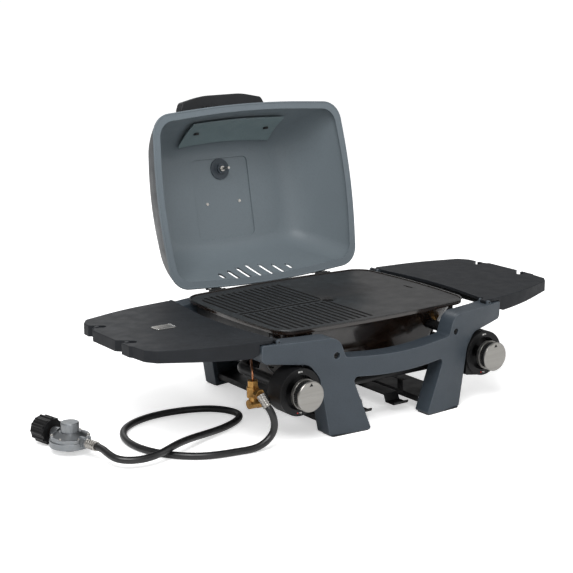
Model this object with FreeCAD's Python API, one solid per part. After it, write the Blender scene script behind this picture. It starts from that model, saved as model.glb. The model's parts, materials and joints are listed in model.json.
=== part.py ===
import FreeCAD, Part
import math
import os
from FreeCAD import Vector

# Folding camp grill: bow frames, firebox, hinged lid, fold-up side tables, two knobs and a gas hose.
#
# Millimetres, +Z up, +X to the right and +Y to the rear. Every piece is built about a point on the ground
# midway between the feet. save() then moves it, so that the origin is the bottom centre of the whole outline,
# hose and open lid included. The lid is built closed and then turned open about its hinge; the tables are out.

os.makedirs("parts", exist_ok=True)

X_AXIS = Vector(1, 0, 0)
Y_AXIS = Vector(0, 1, 0)
Z_AXIS = Vector(0, 0, 1)
ORIGIN = Vector(0, 0, 0)
FEET_MIDDLE = Vector(67.95, -89.03, 0)   # where the middle of the four feet ends up
BIG = 400.0                 # longer than any cut needs

# Bow frames
BOW_RADIUS = 1050.0         # plan radius of the frame's front face
BOW_FRONT = -234.0          # y of the front face on the centre line
FRAME_DEPTH = 39.0
BAND_PROUD = 3.5            # raised band along the lower edge of arm and leg
ARM_TIP = 301.0
ARM_TOP = 197.0
PAD_HEIGHT = 2.0
SCREW_X, SCREW_Z = 151.0, 161.0
SHANK_RADIUS = 3.0
HEAD_RADIUS = 6.0
HEAD_DEPTH = 8.0
LEG_INNER, LEG_OUTER = 72.0, 165.0

# Firebox
RIM_HALF_X, RIM_HALF_Y, RIM_Y = 245.0, 188.0, 14.0
BOWL_HALF_X, BOWL_HALF_Y, BOWL_Y = 232.0, 168.0, 8.0
FLOOR_HALF_X, FLOOR_HALF_Y = 178.0, 115.0
RIM_CORNER = 44.0
FLOOR_CORNER = 28.0
SIDE_BOW = 10.0             # how far each long side bulges
SHEET = 2.0
LEDGE_Z = 198.0
RIM_TOP = 206.5
FLOOR_Z = 80.0

# Cooking plate
PLATE_TOP = 205.0
PLATE_BOTTOM = 193.0
RIB_PITCH = 14.7
TROUGH_WIDTH = 8.2
TROUGH_DEPTH = 6.5
TROUGH_COUNT = 15
DRAIN_Y, DRAIN_RADIUS = 6.0, 12.0

# Lid, as closed: (height above the rim, half width, half depth, centre y, corner radius)
LID_SECTIONS = (
    (0.0, 252.0, 193.0, 12.0, 44.0),
    (50.0, 236.0, 174.0, 13.0, 46.0),
    (105.0, 209.0, 148.0, 14.0, 46.0),
    (135.0, 183.0, 126.0, 15.0, 38.0),
    (148.0, 150.0, 102.0, 15.0, 30.0),
)
LID_Z = 207.0
LID_SKIN = 3.0
LID_LIP = 15.0
LID_PANEL_HALF = 77.0
VENT_LENGTHS = (26.0, 46.0, 66.0, 84.0, 66.0, 46.0, 26.0)
VENT_PITCH, VENT_WIDTH, VENT_Z = 30.0, 10.0, 256.0
CEILING = LID_Z + LID_SECTIONS[-1][0]
CASE_Z = CEILING + LID_SKIN          # top of the raised panel, where the thermometer sits
DIAL_Y = -51.0
HINGE_Y, HINGE_Z = 210.4, 200.4
OPEN_ANGLE = 101.6
HINGE_X = 141.0             # middle of each lid hinge
PIN_RADIUS = 2.0
RUNNING = 0.06              # radial clearance of a turning fit

# Side tables
TABLE_TOP = 204.0
TABLE_INNER = 266.0
TABLE_OUTER = 512.0
TABLE_PIVOT_Z = 199.0
LAP_BOTTOM = 197.6          # underside where the table laps over the arm
SKIRT_INNER_Z, SKIRT_OUTER_Z = 172.0, 184.0
TABLE_WALL = 5.0
KNUCKLE_Y = 181.0
KNUCKLE_RADIUS = 4.5
NOTCHES = ((112.0, 84.0, 487.0), (-18.0, -48.0, 495.0))     # mouth y, end y, end x

# Controls
KNOB_X, KNOB_Z = 233.5, 101.5
BEZEL_FRONT, BEZEL_BACK = -218.0, -176.0
BEZEL_RADIUS = 46.5
RECESS_RADIUS, RECESS_FLOOR = 34.0, -198.0
FACE_Y = -253.0
FACE_RADIUS = 30.0
SPINDLE_RADIUS = 4.0

# Gas train
TUBE_Y, TUBE_Z, TUBE_RADIUS = -165.0, 79.0, 6.0
HOSE_RADIUS = 6.85
REGULATOR = Vector(-608, -3, 27.2)
REGULATOR_TURN = 12.0
REGULATOR_RADIUS = 39.0
NUT_RADIUS = 27.0
FITTING = Vector(-306, TUBE_Y, TUBE_Z)
RISER, OUTLET_RISE = 38.0, 24.0
HOSE_TOP = FITTING + Vector(0, -26, OUTLET_RISE)
SLEEVE_DIRECTION = Vector(0.25, -0.55, -0.8).normalize()
SLEEVE_LENGTH = 26.0


def corner_arc(before, corner, after, radius):
    """Start, middle and end of the arc that rounds one corner."""
    back = (before - corner).normalize()
    ahead = (after - corner).normalize()
    half = back.getAngle(ahead) / 2
    reach = radius / math.tan(half)
    centre = corner + (back + ahead).normalize() * (radius / math.sin(half))
    middle = centre + (corner - centre).normalize() * radius
    return corner + back * reach, middle, corner + ahead * reach


def rounded_wire(points, to_space):
    """Closed wire through (u, v, corner radius) points."""
    flat = [Vector(u, v, 0) for u, v, _ in points]
    count = len(points)
    arcs = []
    for i, (_, _, radius) in enumerate(points):
        if radius:
            arcs.append(corner_arc(flat[i - 1], flat[i], flat[(i + 1) % count], radius))
        else:
            arcs.append((flat[i], None, flat[i]))
    edges = []
    for i, (start, middle, end) in enumerate(arcs):
        if middle is not None:
            edges.append(Part.Arc(to_space(start), to_space(middle), to_space(end)).toShape())
        following = arcs[(i + 1) % count][0]
        if end.distanceToPoint(following) > 1e-4:
            edges.append(Part.makeLine(to_space(end), to_space(following)))
    return Part.Wire(edges)


def prism_z(points, low, high):
    wire = rounded_wire(points, lambda p: Vector(p.x, p.y, low))
    return Part.Face(wire).extrude(Vector(0, 0, high - low))


def prism_y(points, low, high):
    wire = rounded_wire(points, lambda p: Vector(p.x, low, p.y))
    return Part.Face(wire).extrude(Vector(0, high - low, 0))


def prism_x(points, low, high):
    wire = rounded_wire(points, lambda p: Vector(low, p.x, p.y))
    return Part.Face(wire).extrude(Vector(high - low, 0, 0))


def box(x0, x1, y0, y1, z0, z1):
    return Part.makeBox(x1 - x0, y1 - y0, z1 - z0, Vector(x0, y0, z0))


def rod(radius, start, end):
    return Part.makeCylinder(radius, (end - start).Length, start, end - start)


def tube(outer, inner, start, end):
    return rod(outer, start, end).cut(rod(inner, start, end))


def hexagon(across_flats, start, end):
    """Hexagonal bar between two points."""
    radius = across_flats / math.sqrt(3)
    corners = [Vector(radius * math.cos(k * math.pi / 3), radius * math.sin(k * math.pi / 3), 0)
               for k in range(7)]
    bar = Part.Face(Part.makePolygon(corners)).extrude(Vector(0, 0, (end - start).Length))
    bar.Placement = FreeCAD.Placement(start, FreeCAD.Rotation(Z_AXIS, end - start))
    return bar


def mirror_x(shape):
    return shape.mirror(ORIGIN, X_AXIS)


def mirror_y(shape):
    return shape.mirror(ORIGIN, Y_AXIS)


def fuse(shapes):
    return shapes[0].multiFuse(shapes[1:]).removeSplitter()


def both_sides(shape):
    return [shape, mirror_x(shape)]


def four_corners(shape):
    return both_sides(shape) + both_sides(mirror_y(shape))


def save(name, shapes):
    solids = [solid.translated(FEET_MIDDLE) for shape in shapes for solid in shape.Solids]
    result = solids[0] if len(solids) == 1 else Part.makeCompound(solids)
    result.exportStep("parts/" + name + ".step")


def bulged(half_x, half_y, centre_y, corner, bow=SIDE_BOW):
    """Rounded rectangle whose four sides bulge outward."""
    apex = 0.6 * bow        # the rounded middle of a side falls short of its vertex by this much
    rise = 1.6 * bow
    points = []
    for x_sign, y_sign, along_x in ((1, 0, False), (1, 1, None), (0, 1, True), (-1, 1, None),
                                    (-1, 0, False), (-1, -1, None), (0, -1, True), (1, -1, None)):
        if along_x is None:
            points.append((x_sign * (half_x - bow), centre_y + y_sign * (half_y - bow), corner))
        elif along_x:
            length = half_x - bow
            points.append((0, centre_y + y_sign * (half_y + apex), 0.6 * length * length / rise))
        else:
            length = half_y - bow
            points.append((x_sign * (half_x + apex), centre_y, 0.6 * length * length / rise))
    return points


def bulged_prism(half_x, half_y, centre_y, corner, low, high):
    return prism_z(bulged(half_x, half_y, centre_y, corner), low, high)


def bulged_loft(sections, grow=0.0):
    wires = []
    for z, half_x, half_y, centre_y, corner in sections:
        points = bulged(half_x + grow, half_y + grow, centre_y, corner + grow)
        wires.append(rounded_wire(points, lambda p, level=z: Vector(p.x, p.y, level)))
    return Part.makeLoft(wires, True, False)


def open_lid(shape):
    turned = shape.copy()
    turned.rotate(Vector(0, HINGE_Y, HINGE_Z), Vector(-1, 0, 0), OPEN_ANGLE)
    return turned


# ---------------------------------------------------------------- frame

def bow_ring(front_radius, back_radius):
    """Plan band between two arcs about the bow's centre, cut to the front half."""
    centre = Vector(0, BOW_FRONT + BOW_RADIUS, 0)
    outer = Part.makeCylinder(front_radius, BIG, centre)
    ring = outer.cut(Part.makeCylinder(back_radius, BIG, centre))
    return ring.common(box(-BIG, BIG, -BIG, 0, 0, BIG))


def frame_outline():
    """Legs, arms and sagging crossbar seen from the front, right half then left half."""
    right = [(131, 155, 8), (147, ARM_TOP, 28), (ARM_TIP, ARM_TOP - 1, 4), (ARM_TIP, 161, 10),
             (209, 150, 22), (187, 122, 30), (LEG_OUTER, PAD_HEIGHT, 4), (LEG_INNER, PAD_HEIGHT, 4),
             (116.6, 114, 8)]
    left = [(-x, z, r) for x, z, r in reversed(right)]
    return [(0, 144.6, 900)] + right + [(0, 103.0, 900)] + left


def frame_band():
    return [(ARM_TIP, 161, 8), (ARM_TIP, 170, 4), (216, 170, 30), (180, 146, 40), (90, PAD_HEIGHT, 3),
            (LEG_OUTER, PAD_HEIGHT, 4), (187, 122, 30), (209, 150, 22)]


def leg_pocket():
    return [(84, 10, 4), (155, 10, 4), (176, 112, 10), (160, 136, 8), (132, 112, 8)]


def table_ears():
    """Two upstands on an arm that hold a table pin."""
    ears = []
    for offset in (-14.0, 9.0):
        ear = rod(KNUCKLE_RADIUS, Vector(TABLE_INNER, offset - KNUCKLE_Y, TABLE_PIVOT_Z),
                  Vector(TABLE_INNER, offset + 5.0 - KNUCKLE_Y, TABLE_PIVOT_Z))
        foot = box(TABLE_INNER - KNUCKLE_RADIUS, TABLE_INNER + KNUCKLE_RADIUS, offset - KNUCKLE_Y,
                   offset + 5.0 - KNUCKLE_Y, ARM_TOP - 6.0, TABLE_PIVOT_Z)
        ears += [ear, foot]
    return ears


def knuckle_recess():
    reach = KNUCKLE_RADIUS + 1.2
    return box(TABLE_INNER - reach, TABLE_INNER + reach, -KNUCKLE_Y - 9.0, -KNUCKLE_Y + 9.0,
               TABLE_PIVOT_Z - reach, ARM_TOP + 4.0)


def front_frame():
    body = prism_y(frame_outline(), -BIG, -100).common(bow_ring(BOW_RADIUS, BOW_RADIUS - FRAME_DEPTH))
    band = prism_y(frame_band(), -BIG, -100).common(bow_ring(BOW_RADIUS + BAND_PROUD, BOW_RADIUS - 1))
    ears = table_ears()
    body = fuse([body] + both_sides(band) + [m for ear in ears for m in both_sides(ear)])
    pocket = prism_y(leg_pocket(), -BIG, -100).common(
        bow_ring(BOW_RADIUS - 6.0, BOW_RADIUS - FRAME_DEPTH - 5.0))
    face_y = BOW_FRONT + SCREW_X ** 2 / (2 * BOW_RADIUS)
    counterbore = rod(HEAD_RADIUS + 0.8, Vector(SCREW_X, face_y - 10, SCREW_Z),
                      Vector(SCREW_X, face_y + HEAD_DEPTH, SCREW_Z))
    through = rod(SHANK_RADIUS + 0.3, Vector(SCREW_X, -BIG, SCREW_Z), Vector(SCREW_X, -100, SCREW_Z))
    pin_hole = rod(PIN_RADIUS, Vector(TABLE_INNER, -KNUCKLE_Y - 14, TABLE_PIVOT_Z),
                   Vector(TABLE_INNER, -KNUCKLE_Y + 14, TABLE_PIVOT_Z))
    cuts = [pocket, counterbore, through, pin_hole, knuckle_recess()]
    return body.cut([m for cut in cuts for m in both_sides(cut)])


def foot_pads():
    inset = 4.0
    pad = prism_z([(LEG_INNER + inset, -230, 4), (LEG_OUTER - inset, -225, 4),
                   (LEG_OUTER - inset, -190, 4), (LEG_INNER + inset, -195, 4)], 0, PAD_HEIGHT)
    return four_corners(pad)


def frame_screws():
    face_y = BOW_FRONT + SCREW_X ** 2 / (2 * BOW_RADIUS) + HEAD_DEPTH
    head = rod(HEAD_RADIUS, Vector(SCREW_X, face_y - 4, SCREW_Z), Vector(SCREW_X, face_y, SCREW_Z))
    socket = hexagon(5.0, Vector(SCREW_X, face_y - 4, SCREW_Z), Vector(SCREW_X, face_y - 1, SCREW_Z))
    shank = rod(SHANK_RADIUS, Vector(SCREW_X, face_y, SCREW_Z), Vector(SCREW_X, -164, SCREW_Z))
    return four_corners(head.cut(socket).fuse(shank))


def base_rail():
    """Downward channel that joins the front and rear legs of one side."""
    top, wall, drop = 30.0, 2.0, 12.0
    channel = box(80, 160, -200, 200, top - drop, top)
    channel = channel.cut(box(80 + wall, 160 - wall, -200, 200, top - drop, top - wall))
    ring = bow_ring(BOW_RADIUS + 60, BOW_RADIUS - FRAME_DEPTH)
    return channel.cut([ring, mirror_y(ring)])


# ---------------------------------------------------------------- firebox and cooking plate

def bowl_solid(inset=0.0):
    return bulged_loft([
        (LEDGE_Z + 1 + inset, BOWL_HALF_X - inset, BOWL_HALF_Y - inset, BOWL_Y, RIM_CORNER - inset),
        (FLOOR_Z + inset, FLOOR_HALF_X - inset, FLOOR_HALF_Y - inset, BOWL_Y, FLOOR_CORNER - inset)])


def burner_port():
    return rod(13.0, Vector(150, 0, KNOB_Z), Vector(215, 0, KNOB_Z))


def firebox():
    bowl = bowl_solid()
    upstand = bulged_prism(RIM_HALF_X, RIM_HALF_Y, RIM_Y, RIM_CORNER, LEDGE_Z, RIM_TOP)
    inner_rim = bulged_prism(RIM_HALF_X - SHEET, RIM_HALF_Y - SHEET, RIM_Y, RIM_CORNER - SHEET,
                             LEDGE_Z + SHEET, RIM_TOP + 1)
    drain = rod(16.0, Vector(0, DRAIN_Y, FLOOR_Z - 5), Vector(0, DRAIN_Y, FLOOR_Z + 10))
    body = fuse([bowl, upstand])
    ports = both_sides(burner_port())
    screw_hole = rod(SHANK_RADIUS + 0.3, Vector(SCREW_X, -170, SCREW_Z), Vector(SCREW_X, -100, SCREW_Z))
    return body.cut([bowl_solid(SHEET), inner_rim, drain] + ports + four_corners(screw_hole))


def standoffs():
    """Spacers between the bow frames and the firebox wall."""
    spacer = rod(10.0, Vector(SCREW_X, -210, SCREW_Z), Vector(SCREW_X, -120, SCREW_Z))
    spacer = spacer.cut([bow_ring(BOW_RADIUS + 60, BOW_RADIUS - FRAME_DEPTH),
                         rod(SHANK_RADIUS + 0.3, Vector(SCREW_X, -210, SCREW_Z),
                             Vector(SCREW_X, -100, SCREW_Z))])
    bowl = bowl_solid()
    return [part.cut(bowl) for part in four_corners(spacer)]


def side_deflector():
    """Curved bright sheet that shades the table from the firebox side."""
    outer = bulged_prism(RIM_HALF_X - 4, RIM_HALF_Y, RIM_Y, RIM_CORNER, 138, LEDGE_Z - 0.5)
    inner = bulged_prism(RIM_HALF_X - 5.2, RIM_HALF_Y, RIM_Y, RIM_CORNER, 138, LEDGE_Z - 0.5)
    return outer.cut(inner).common(box(200, 260, -118, 140, 130, 200))


def cooking_plate():
    split = LEDGE_Z + SHEET + 0.2
    top = bulged_prism(RIM_HALF_X - 3.2, RIM_HALF_Y - 3.2, RIM_Y, RIM_CORNER - 3.2, split, PLATE_TOP)
    base = bulged_prism(BOWL_HALF_X - 8, BOWL_HALF_Y - 8, BOWL_Y, RIM_CORNER - 8, PLATE_BOTTOM, split)
    body = fuse([top, base])
    field = bulged_prism(RIM_HALF_X - 16, RIM_HALF_Y - 24, RIM_Y - 5, RIM_CORNER - 14,
                         PLATE_TOP - TROUGH_DEPTH, PLATE_TOP + 1)
    half, taper = TROUGH_WIDTH / 2, 1.2
    floor = PLATE_TOP - TROUGH_DEPTH
    troughs = []
    for index in range(TROUGH_COUNT):
        x = -(index + 1) * RIB_PITCH + 2.0
        section = [(x - half, PLATE_TOP + 1, 0), (x + half, PLATE_TOP + 1, 0),
                   (x + half - taper, floor, 0), (x - half + taper, floor, 0)]
        troughs.append(prism_y(section, -190, DRAIN_Y - 10))
        troughs.append(prism_y(section, DRAIN_Y + 10, 200))
    channel = box(-222, 0, DRAIN_Y - 5, DRAIN_Y + 5, floor, PLATE_TOP + 1)
    grooves = Part.makeCompound(troughs).common(field)
    drain = rod(DRAIN_RADIUS, Vector(0, DRAIN_Y, 180), Vector(0, DRAIN_Y, 210))
    dish = Part.makeCone(15.0, 20.0, 3.0, Vector(0, DRAIN_Y, PLATE_TOP - 3.0))
    slot = prism_z([(204, -20, 2.9), (210, -20, 2.9), (210, 10, 2.9), (204, 10, 2.9)], 180, 210)
    return body.cut([grooves, channel, drain, dish, slot])


def burner():
    """Tube burner whose venturi leaves through the side of the bowl and turns to the valve."""
    bend = 34.0
    path = Part.Wire([
        Part.makeLine(Vector(20, 0, KNOB_Z), Vector(KNOB_X - bend, 0, KNOB_Z)),
        Part.Arc(Vector(KNOB_X - bend, 0, KNOB_Z),
                 Vector(KNOB_X - bend * (1 - math.sqrt(0.5)), -bend * (1 - math.sqrt(0.5)), KNOB_Z),
                 Vector(KNOB_X, -bend, KNOB_Z)).toShape(),
        Part.makeLine(Vector(KNOB_X, -bend, KNOB_Z), Vector(KNOB_X, -148, KNOB_Z))])
    pipes = []
    for radius in (11.0, 9.6):
        ring = Part.Wire(Part.makeCircle(radius, Vector(20, 0, KNOB_Z), X_AXIS))
        pipes.append(path.makePipeShell([ring], True, True))
    shell = pipes[0].cut(pipes[1]).fuse(rod(11.0, Vector(18, 0, KNOB_Z), Vector(20, 0, KNOB_Z)))
    ports = [rod(1.3, Vector(34 + 14 * k, 0, KNOB_Z), Vector(34 + 14 * k, 0, KNOB_Z + 14)) for k in range(10)]
    return shell.cut(ports)


# ---------------------------------------------------------------- drip tray

def drip_tray():
    outer = prism_z([(-72, -40, 10), (72, -40, 10), (72, 120, 10), (-72, 120, 10)], 32.2, 58)
    inner = prism_z([(-70.5, -38.5, 8.5), (70.5, -38.5, 8.5), (70.5, 118.5, 8.5), (-70.5, 118.5, 8.5)],
                    33.7, 60)
    lips = both_sides(box(71, 78, -25, 105, 56.5, 58))
    return fuse([outer] + lips).cut(inner)


def tray_strap():
    """Flat pull that runs forward under the tray, steps down and ends in a rolled lip."""
    profile = [(110, 30, 0), (110, 32, 0), (-146, 32, 2.5), (-152, 18, 1.5), (-176, 18, 1.5), (-179, 23, 0),
               (-181, 22, 0), (-178, 16, 2.5), (-150.5, 16, 2), (-144.5, 30, 1.5)]
    return prism_x(profile, 29, 65)


def tray_guide():
    shelf = box(73, 84, -150, 150, 54.5, 56)
    posts = [box(82.2, 84, y, y + 16, 30, 55) for y in (-140, 124)]
    return fuse([shelf] + posts)


# ---------------------------------------------------------------- side tables

def table_plan(inset=0.0):
    """Plan of the right table: concave inner edge, bowed long edges, stepped outer end."""
    outer = TABLE_OUTER - inset
    return [(TABLE_INNER + inset, -191 + inset, 12), (388, -171 + inset, 500), (492 - inset, -131 + inset, 8),
            (outer - 4, -112 + inset / 2, 8), (outer, -76, 6), (outer + 4, -70, 4), (outer + 4, 70, 4),
            (outer - 4, 78, 6), (outer - 8, 128 - inset / 2, 8), (488 - inset, 150 - inset, 8),
            (388, 180 - inset, 500), (TABLE_INNER + inset, 191 - inset, 12), (290 + inset, 0, 700)]


def hook_notch(mouth_y, end_y, end_x):
    """Slanted slot with a round inner end, cut in from the table's outer edge."""
    radius = 8.0
    end = Vector(end_x, end_y, 150)
    mouth = Vector(TABLE_OUTER + 16, mouth_y, 150)
    side = (mouth - end).cross(Z_AXIS).normalize() * radius
    corners = [end + side, mouth + side * 1.6, mouth - side, end - side, end + side]
    slot = Part.Face(Part.makePolygon(corners)).extrude(Vector(0, 0, 80))
    return slot.fuse(rod(radius, end, end + Vector(0, 0, 80)))


def notch_prong(mouth_y, end_y, end_x):
    """Upright peg at the throat of a notch, tied to the table by a low foot."""
    x, y = end_x + 11.0, end_y + (mouth_y - end_y) * 0.3 - 6.5
    return box(x - 3, x + 4, y - 4, y + 4, SKIRT_OUTER_Z + 2, TABLE_TOP + 1.5)


def right_table():
    body = prism_z(table_plan(), 160, TABLE_TOP)
    body = body.makeFillet(1.6, [e for e in body.Edges if min(v.Z for v in e.Vertexes) > TABLE_TOP - 0.1])
    pocket_plan = box(ARM_TIP + 8, TABLE_OUTER + 20, -BIG, BIG, 150, TABLE_TOP - 4)
    pocket = prism_z(table_plan(TABLE_WALL), 150, TABLE_TOP - 4).common(pocket_plan)
    slope = prism_y([(TABLE_INNER - 40, 100, 0), (TABLE_OUTER + 40, 100, 0),
                     (TABLE_OUTER + 40, SKIRT_OUTER_Z, 0), (ARM_TIP + 18, SKIRT_INNER_Z + 0.8, 12),
                     (ARM_TIP + 2, SKIRT_INNER_Z + 6, 6), (ARM_TIP + 2, LAP_BOTTOM, 0),
                     (TABLE_INNER - 40, LAP_BOTTOM, 0)], -BIG, BIG)
    notches = [hook_notch(*notch) for notch in NOTCHES]
    walls = [hook_wall(*notch) for notch in NOTCHES]
    body = body.cut([pocket])
    body = fuse([body] + [wall.common(prism_z(table_plan(), 160, TABLE_TOP - 1)) for wall in walls])
    body = body.cut([slope] + notches)
    body = body.fuse([notch_prong(*notch) for notch in NOTCHES]).removeSplitter()
    return add_knuckles(body)


def hook_wall(mouth_y, end_y, end_x):
    """Material kept round a notch so that its sides are as deep as the skirt."""
    end = Vector(end_x, end_y, SKIRT_INNER_Z)
    mouth = Vector(TABLE_OUTER + 16, mouth_y, SKIRT_INNER_Z)
    side = (mouth - end).cross(Z_AXIS).normalize() * 12.0
    corners = [end + side, mouth + side * 1.6, mouth - side, end - side, end + side]
    block = Part.Face(Part.makePolygon(corners)).extrude(Vector(0, 0, TABLE_TOP - 2 - SKIRT_INNER_Z))
    return block.fuse(rod(12.0, end, end + Vector(0, 0, TABLE_TOP - 2 - SKIRT_INNER_Z)))


def add_knuckles(body):
    """Bored barrels between the frame's ears, with room for the ears themselves."""
    barrels, cuts = [], []
    reach = KNUCKLE_RADIUS + 1.0
    for side in (-1, 1):
        centre = side * KNUCKLE_Y
        barrels.append(rod(KNUCKLE_RADIUS, Vector(TABLE_INNER, centre - 8.5, TABLE_PIVOT_Z),
                           Vector(TABLE_INNER, centre + 8.5, TABLE_PIVOT_Z)))
        for low in (-14.8, 8.6):
            low_y = centre + low if side < 0 else centre - low - 6.2
            cuts.append(box(TABLE_INNER - 20, TABLE_INNER + reach, low_y, low_y + 6.2, 190, 210))
        cuts.append(rod(PIN_RADIUS + RUNNING, Vector(TABLE_INNER, centre - 20, TABLE_PIVOT_Z),
                        Vector(TABLE_INNER, centre + 20, TABLE_PIVOT_Z)))
    return fuse([body] + barrels).cut(cuts)


def table_pins():
    pin = rod(PIN_RADIUS, Vector(TABLE_INNER, -KNUCKLE_Y - 14, TABLE_PIVOT_Z),
              Vector(TABLE_INNER, -KNUCKLE_Y + 14, TABLE_PIVOT_Z))
    return four_corners(pin)


def badge_plate():
    return prism_z([(-416, -4, 5), (-372, -4, 5), (-372, 24, 5), (-416, 24, 5)], TABLE_TOP, TABLE_TOP + 1)


# ---------------------------------------------------------------- lid

def lid_solid(grow=0.0, sink=0.0):
    sections = [(LID_Z + height - sink, hx, hy, cy, corner) for height, hx, hy, cy, corner in LID_SECTIONS]
    return bulged_loft(sections, grow)


def lid_panel(inset):
    """Plan of the raised panel on top of the lid."""
    half, front, rear, corner = LID_PANEL_HALF - inset, -78 + inset, 108 - inset, 14 - inset
    return [(-half, front, corner), (half, front, corner), (half, rear, corner), (-half, rear, corner)]


def lid_shell():
    """Domed shell with an inward lip, a raised panel and vent slots in its rear wall."""
    below_lip = box(-BIG, BIG, -BIG, BIG, 0, LID_Z + LID_SKIN)
    cavity = lid_solid(-LID_SKIN, LID_SKIN).cut(below_lip)
    _, half_x, half_y, centre_y, corner = LID_SECTIONS[0]
    mouth = bulged_prism(half_x - LID_LIP, half_y - LID_LIP, centre_y, corner - 8, LID_Z - 1,
                         LID_Z + LID_SKIN + 1)
    raised = prism_z(lid_panel(0), CEILING - 1, CEILING + LID_SKIN)
    recess = prism_z(lid_panel(LID_SKIN), CEILING - LID_SKIN - 1, CEILING)
    body = fuse([lid_solid(), raised])
    slots = []
    for index, length in enumerate(VENT_LENGTHS):
        left = (index - 3) * VENT_PITCH - VENT_WIDTH / 2
        right, low, high = left + VENT_WIDTH, VENT_Z - length / 2, VENT_Z + length / 2
        corner = VENT_WIDTH / 2 - 0.1
        slots.append(prism_y([(left, low, corner), (right, low, corner), (right, high, corner),
                              (left, high, corner)], 120, 230))
    stem = rod(6.5, Vector(0, DIAL_Y, CEILING - 20), Vector(0, DIAL_Y, CEILING + 20))
    return body.cut([cavity, mouth, recess, stem] + slots)


def thermometer_case():
    """Dial case with its threaded stem and the probe that reaches into the lid."""
    case = rod(22.0, Vector(0, DIAL_Y, CASE_Z), Vector(0, DIAL_Y, CASE_Z + 10))
    well = rod(20.0, Vector(0, DIAL_Y, CASE_Z + 2), Vector(0, DIAL_Y, CASE_Z + 11))
    stem = rod(6.0, Vector(0, DIAL_Y, CEILING - 14), Vector(0, DIAL_Y, CASE_Z))
    probe = rod(3.0, Vector(0, DIAL_Y, CEILING - 40), Vector(0, DIAL_Y, CEILING - 14))
    return fuse([case.cut(well), stem, probe])


def thermometer_dial():
    disc = rod(19.6, Vector(0, DIAL_Y, CASE_Z + 2), Vector(0, DIAL_Y, CASE_Z + 3))
    post = rod(0.8, Vector(0, DIAL_Y, CASE_Z + 3), Vector(0, DIAL_Y, CASE_Z + 5.5))
    return disc.fuse(post)


def thermometer_needle():
    hub = rod(2.6, Vector(0, DIAL_Y, CASE_Z + 3.6), Vector(0, DIAL_Y, CASE_Z + 4.8))
    blade = prism_z([(-1.2, DIAL_Y - 5, 0), (1.2, DIAL_Y - 5, 0), (0.4, DIAL_Y + 16, 0),
                     (-0.4, DIAL_Y + 16, 0)],
                    CASE_Z + 3.8, CASE_Z + 4.6)
    bore = rod(0.8 + RUNNING, Vector(0, DIAL_Y, CASE_Z), Vector(0, DIAL_Y, CASE_Z + 9))
    return fuse([hub, blade]).cut(bore)


def thermometer_lens():
    return rod(19.9, Vector(0, DIAL_Y, CASE_Z + 7), Vector(0, DIAL_Y, CASE_Z + 8.6))


def thermometer_nut():
    washer = tube(24.0, 6.1, Vector(0, DIAL_Y, CEILING - 3), Vector(0, DIAL_Y, CEILING))
    nut = hexagon(20.0, Vector(0, DIAL_Y, CEILING - 11), Vector(0, DIAL_Y, CEILING - 3))
    hole = rod(6.1, Vector(0, DIAL_Y, CEILING - 20), Vector(0, DIAL_Y, CEILING + 5))
    return fuse([washer, nut.cut(hole)])


def handle_grip():
    """Deep arched bar in front of the lid, with finger grooves across its underside."""
    z0 = LID_Z + 100.0
    plan = [(-112, -186, 6), (-104, -203, 10), (-52, -214, 160), (52, -214, 160), (104, -203, 10),
            (112, -186, 6), (106, -171, 5), (50, -174, 160), (-50, -174, 160), (-106, -171, 5)]
    grip = prism_z(plan, z0, z0 + 24)
    grip = grip.makeFillet(4.0, [e for e in grip.Edges if min(v.Z for v in e.Vertexes) > z0 + 23
                                 or max(v.Z for v in e.Vertexes) < z0 + 1])
    grooves = [box(x - 2, x + 2, -190, -160, z0 - 1, z0 + 5) for x in range(-54, 55, 9)]
    return grip.cut(grooves)


def handle_feet():
    z0 = LID_Z + 100.0
    foot = box(80, 108, -190, -100, z0 + 3, z0 + 21).cut([lid_solid(), handle_grip()])
    front = max(foot.Solids, key=lambda solid: solid.Volume)
    return both_sides(front)


def heat_shield():
    """Plate held off the inside of the front wall, behind the handle."""
    gap = 5.0
    outer = lid_solid(-LID_SKIN - gap, LID_SKIN + gap)
    inner = lid_solid(-LID_SKIN - gap - 1.5, LID_SKIN + gap + 1.5)
    window = box(-120, 120, -BIG, -70, LID_Z + 42, LID_Z + 118)
    return outer.cut(inner).common(window)


def shield_studs():
    """Nuts and spacers that carry the heat shield."""
    height = LID_Z + 80.0
    wall = lid_solid(-LID_SKIN, LID_SKIN)
    shield = lid_solid(-LID_SKIN - 6.5, LID_SKIN + 6.5)
    stud = rod(4.0, Vector(92, -180, height), Vector(92, -120, height))
    behind = stud.common(wall).cut(lid_solid(-LID_SKIN - 5.0, LID_SKIN + 5.0))
    face_y = min(v.Y for v in shield.common(stud).Vertexes) + 1.0
    nut = rod(6.0, Vector(92, face_y, height), Vector(92, face_y + 5, height)).common(shield)
    return both_sides(behind) + both_sides(nut)


def lid_rivets():
    z = CEILING
    rivet = rod(3.5, Vector(43, 25, z - 1.5), Vector(43, 25, z - 0.05))
    return both_sides(rivet)


def hinge_leaf():
    """Barrel and leaf fixed to the outside of the lid's rear wall."""
    x0, x1 = HINGE_X - 13, HINGE_X + 13
    barrel = rod(4.0, Vector(x0, HINGE_Y, HINGE_Z), Vector(x1, HINGE_Y, HINGE_Z))
    leaf = lid_solid(2.2).cut(lid_solid()).common(box(x0, x1, 150, 230, LID_Z + 1.5, LID_Z + 34))
    web = box(x0, x1, 203.5, HINGE_Y + 2, HINGE_Z + 1, LID_Z + 6).cut(lid_solid())
    bore = rod(PIN_RADIUS + RUNNING, Vector(x0 - 5, HINGE_Y, HINGE_Z), Vector(x1 + 5, HINGE_Y, HINGE_Z))
    return fuse([barrel, leaf, web]).cut(bore)


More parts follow.
